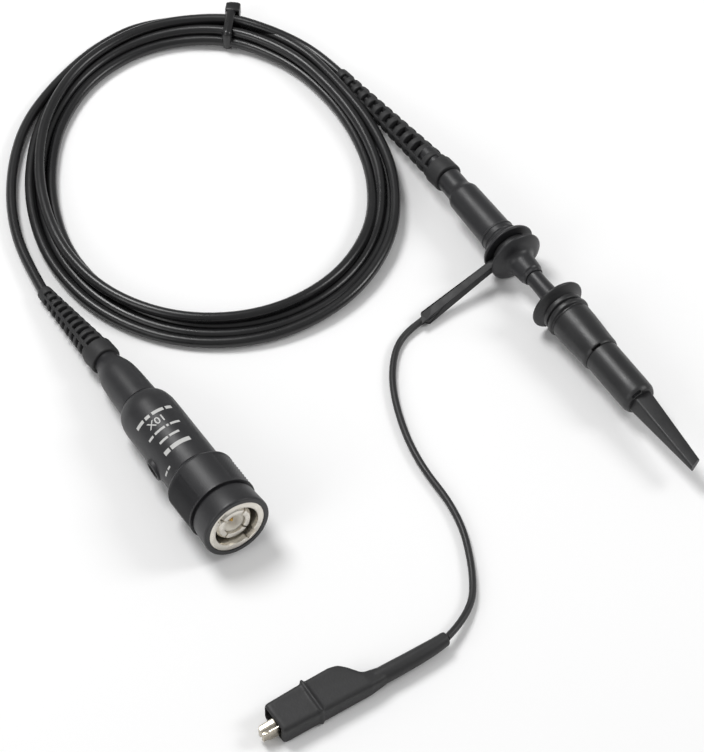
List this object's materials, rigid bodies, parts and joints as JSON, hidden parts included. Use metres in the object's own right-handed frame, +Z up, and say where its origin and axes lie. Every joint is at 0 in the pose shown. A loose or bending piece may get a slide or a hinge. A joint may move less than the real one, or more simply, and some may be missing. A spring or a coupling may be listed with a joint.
{
  "type": "oscilloscope probe",
  "caption": "Passive oscilloscope probe with a spring hook tip, coiled cable, ground clip lead and a bayonet plug with its compensation box.",
  "frame": {"origin": "on the resting surface, under the middle of the probe head", "axes": "+X along the probe head towards its tip, +Z up; the cable, plug and ground lead lie on the -Y side"},
  "size_m": [0.183, 0.1138, 0.0167],
  "materials": {
    "housing_plastic": "moulded black polycarbonate blend, satin",
    "hook_plastic": "moulded black nylon, satin",
    "relief_rubber": "moulded black elastomer, matt",
    "cable_jacket": "extruded black PVC, glossy",
    "tie_nylon": "moulded black nylon, glossy",
    "lead_rubber": "moulded soft black PVC, matt",
    "lead_jacket": "extruded black PVC, satin",
    "nickel": "nickel plate on brass",
    "brass": "turned brass",
    "gold": "gold plate on brass",
    "steel": "spring steel wire and strip",
    "dielectric": "turned PTFE",
    "silicone": "moulded silicone",
    "board": "glass epoxy board",
    "component": "ceramic and resin parts"
  },
  "bodies": {
    "probe_head": {"attenuator_board": "board", "board_resistors": "component", "box_chassis": "nickel", "box_shell": "housing_plastic", "cable_coil": "cable_jacket", "cable_head_run": "cable_jacket", "cable_plug_run": "cable_jacket", "cable_tie": "tie_nylon", "clip_boot": "lead_rubber", "clip_fixed_jaw": "nickel", "clip_pivot_pin": "nickel", "clip_spring": "steel", "compensation_board": "board", "contact_pin": "gold", "front_guard": "housing_plastic", "ground_barrel": "nickel", "ground_ring": "nickel", "head_cable_end": "cable_jacket", "head_ferrule": "brass", "head_housing": "housing_plastic", "head_relief": "relief_rubber", "lead_strap": "lead_rubber", "lead_wire": "lead_jacket", "lead_wire_end": "lead_jacket", "nose_insulator": "housing_plastic", "plug_body": "nickel", "plug_cable_end": "cable_jacket", "plug_centre_pin": "gold", "plug_dielectric": "dielectric", "plug_ferrule": "brass", "plug_gasket": "silicone", "plug_neck": "housing_plastic", "plug_relief": "relief_rubber", "shield_tube": "brass", "tip_capacitor": "component", "tip_resistor": "component", "trimmer_stator": "component"},
    "hook_tip": {"hook_core": "hook_plastic", "tip_socket": "brass", "hook_wire": "steel", "hook_spring": "steel"},
    "hook_sleeve": {"grip_sleeve": "hook_plastic", "beak_sleeve": "hook_plastic"},
    "coupling": {"coupling_nut": "nickel", "coupling_grip": "housing_plastic", "wave_washer": "steel"},
    "trimmer": {"trimmer_screw": "brass"},
    "clip_jaw": {"clip_moving_jaw": "nickel"}
  },
  "joints": [
    {"name": "hook_tip_pull_off", "type": "slide", "parent": "probe_head", "child": "hook_tip", "axis": [1, 0, 0], "range_m": [0, 0.0065]},
    {"name": "hook_sleeve_slide", "type": "slide", "parent": "hook_tip", "child": "hook_sleeve", "axis": [1, 0, 0], "range_m": [-0.005, 0], "stiffness_N_per_m": 150, "springref_m": 0.004, "deforming": ["hook_spring"]},
    {"name": "coupling_turn", "type": "hinge", "parent": "probe_head", "child": "coupling", "pos_m": [0.02333, -0.0885, 0.00779], "axis": [0.9961, 0, 0.0878], "continuous": true},
    {"name": "trimmer_turn", "type": "hinge", "parent": "probe_head", "child": "trimmer", "pos_m": [0.01065, -0.09328, 0.00583], "axis": [0.0152, -0.9848, -0.173], "continuous": true},
    {"name": "clip_open", "type": "hinge", "parent": "probe_head", "child": "clip_jaw", "pos_m": [0.0737, -0.0919, 0.0025], "axis": [0, 0, -1], "range_deg": [0, 12], "stiffness_Nm_per_rad": 0.02, "springref_deg": -17.19}
  ]
}
